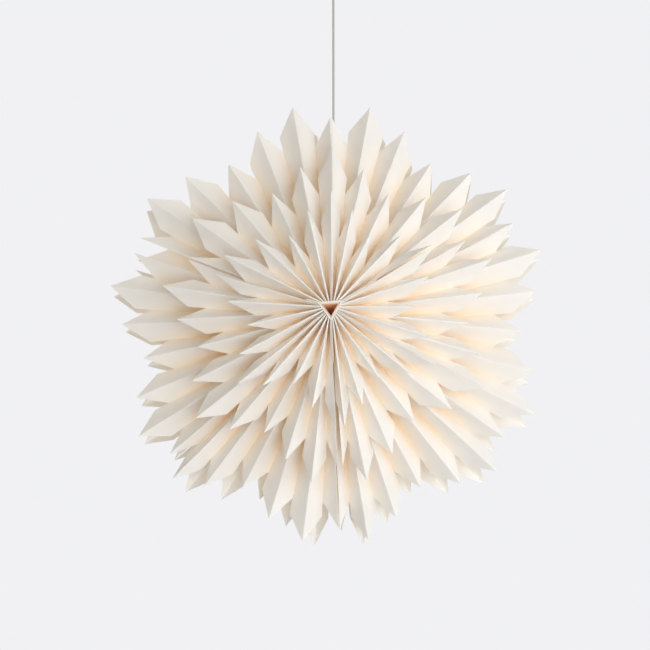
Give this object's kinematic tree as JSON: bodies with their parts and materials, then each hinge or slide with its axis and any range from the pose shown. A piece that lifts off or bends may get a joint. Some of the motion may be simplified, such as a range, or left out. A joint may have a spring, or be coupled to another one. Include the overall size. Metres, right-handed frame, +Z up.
{
  "type": "paper star lantern",
  "caption": "Hanging paper star: rings of pleated fans with cut points stand one behind the other on a folded spine, and a cord with a tied loop holds it up.",
  "frame": {"origin": "the point inside the hanging loop where a hook bears; the star hangs below it", "axes": "+Z up along the cord, Y along the star's axis, and the front faces -Y"},
  "size_m": [0.5832, 0.22, 0.8087],
  "materials": {
    "pleated_paper": "matt",
    "spine_card": "matt",
    "cord": "braided"
  },
  "bodies": {
    "root": {"front_small_fan_1": "pleated_paper", "front_small_fan_2": "pleated_paper", "front_small_fan_3": "pleated_paper", "front_small_fan_4": "pleated_paper", "front_small_fan_5": "pleated_paper", "front_small_fan_6": "pleated_paper", "front_middle_fan_1": "pleated_paper", "front_middle_fan_2": "pleated_paper", "front_middle_fan_3": "pleated_paper", "front_middle_fan_4": "pleated_paper", "front_middle_fan_5": "pleated_paper", "front_middle_fan_6": "pleated_paper", "front_large_fan_1": "pleated_paper", "front_large_fan_2": "pleated_paper", "front_large_fan_3": "pleated_paper", "front_large_fan_4": "pleated_paper", "front_large_fan_5": "pleated_paper", "front_large_fan_6": "pleated_paper", "back_large_fan_1": "pleated_paper", "back_large_fan_2": "pleated_paper", "back_large_fan_3": "pleated_paper", "back_large_fan_4": "pleated_paper", "back_large_fan_5": "pleated_paper", "back_large_fan_6": "pleated_paper", "back_middle_fan_1": "pleated_paper", "back_middle_fan_2": "pleated_paper", "back_middle_fan_3": "pleated_paper", "back_middle_fan_4": "pleated_paper", "back_middle_fan_5": "pleated_paper", "back_middle_fan_6": "pleated_paper", "back_small_fan_1": "pleated_paper", "back_small_fan_2": "pleated_paper", "back_small_fan_3": "pleated_paper", "back_small_fan_4": "pleated_paper", "back_small_fan_5": "pleated_paper", "back_small_fan_6": "pleated_paper", "spine_band_top": "spine_card", "spine_band_right": "spine_card", "spine_band_left": "spine_card", "cord": "cord", "inner_knot": "cord", "hanging_loop": "cord"}
  },
  "joints": []
}
